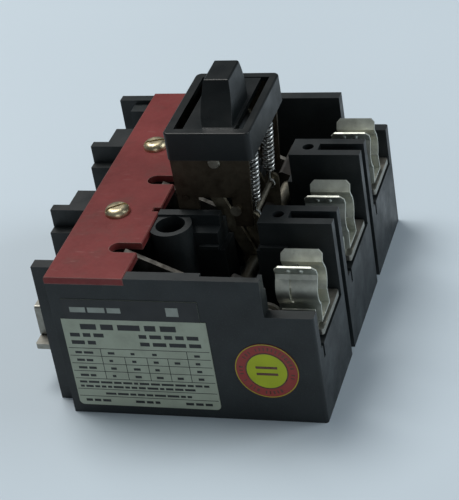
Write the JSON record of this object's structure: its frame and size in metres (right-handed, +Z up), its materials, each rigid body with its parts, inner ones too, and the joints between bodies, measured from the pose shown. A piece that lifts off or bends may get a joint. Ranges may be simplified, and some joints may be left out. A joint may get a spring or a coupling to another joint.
{
  "type": "fusible disconnect switch",
  "caption": "Fusible disconnect switch: black moulded base with open pole bays, knife blades, sprung fuse clips, red terminal guard and a rocking toggle handle.",
  "frame": {"origin": "centre of the base moulding's flat underside", "axes": "+Z up out of the base, +X towards the fuse clips and the load end, -Y towards the labelled side"},
  "size_m": [0.125, 0.1482, 0.115],
  "materials": {
    "base_moulding": "moulded",
    "escutcheon": "moulded",
    "toggle": "moulded",
    "guard": "vulcanised fibre",
    "carrier": "moulded",
    "blade_copper": "tinned copper",
    "tinned_clip": "tinned satin",
    "tinned_bar": "tinned satin",
    "screws": "yellow plated",
    "frame_steel": "dark olive plated",
    "linkage_steel": "plated",
    "pins": "plated",
    "spring_wire": "bright wire",
    "label": "printed foil",
    "sticker": "printed foil"
  },
  "bodies": {
    "root": {"base_moulding": "base_moulding", "clip_bracket_1": "tinned_clip", "clip_bracket_2": "tinned_clip", "clip_bracket_3": "tinned_clip", "clip_screws": "screws", "escutcheon": "escutcheon", "frame_rivets": "pins", "frame_side_far": "frame_steel", "frame_side_near": "frame_steel", "frame_spacer": "frame_steel", "fuse_clip_1": "tinned_clip", "fuse_clip_2": "tinned_clip", "fuse_clip_3": "tinned_clip", "guard_screws": "screws", "handle_shaft": "pins", "hinge_jaw_1": "tinned_bar", "hinge_jaw_2": "tinned_bar", "hinge_jaw_3": "tinned_bar", "hinge_pins": "pins", "line_guard": "guard", "line_jaw_1": "tinned_bar", "line_jaw_2": "tinned_bar", "line_jaw_3": "tinned_bar", "line_lug_1": "tinned_bar", "line_lug_2": "tinned_bar", "line_lug_3": "tinned_bar", "line_strap_1": "tinned_bar", "line_strap_2": "tinned_bar", "line_strap_3": "tinned_bar", "load_terminal_1": "tinned_bar", "load_terminal_2": "tinned_bar", "load_terminal_3": "tinned_bar", "lug_screws": "screws", "rating_label": "label", "round_sticker": "sticker", "spring_anchor": "pins", "spring_far": "spring_wire", "spring_near": "spring_wire", "strap_screws": "screws"},
    "handle": {"toggle_handle": "toggle", "yoke_arm_near": "linkage_steel", "yoke_arm_far": "linkage_steel", "yoke_studs": "linkage_steel"},
    "crossbar": {"crossbar_rod": "pins", "spring_lever_near": "linkage_steel", "spring_lever_far": "linkage_steel", "spring_pin": "pins", "blade_1": "blade_copper", "blade_2": "blade_copper", "blade_3": "blade_copper", "blade_carrier_1": "carrier", "blade_carrier_2": "carrier", "blade_carrier_3": "carrier"},
    "link_near": {"link_near": "linkage_steel"},
    "link_far": {"link_far": "linkage_steel"}
  },
  "joints": [
    {"name": "handle_rock", "type": "hinge", "parent": "root", "child": "handle", "pos_m": [0.0055, 0, 0.086], "axis": [0, -1, 0], "range_deg": [0, 26]},
    {"name": "crossbar_turn", "type": "hinge", "parent": "root", "child": "crossbar", "pos_m": [0.0265, 0, 0.0321], "axis": [0, -1, 0], "range_deg": [0, 26], "deforming": ["spring_near", "spring_far"]},
    {"name": "link_near_pivot", "type": "hinge", "parent": "handle", "child": "link_near", "pos_m": [-0.00663, -0.0182, 0.09192], "axis": [0, -1, 0], "range_deg": [-26, 0]},
    {"name": "link_far_pivot", "type": "hinge", "parent": "handle", "child": "link_far", "pos_m": [-0.00663, 0.0182, 0.09192], "axis": [0, -1, 0], "range_deg": [-26, 0]}
  ],
  "couplings": [
    {"joint": "crossbar_turn", "follows": "handle_rock", "ratio": 1},
    {"joint": "link_near_pivot", "follows": "handle_rock", "ratio": -1},
    {"joint": "link_far_pivot", "follows": "handle_rock", "ratio": -1}
  ]
}
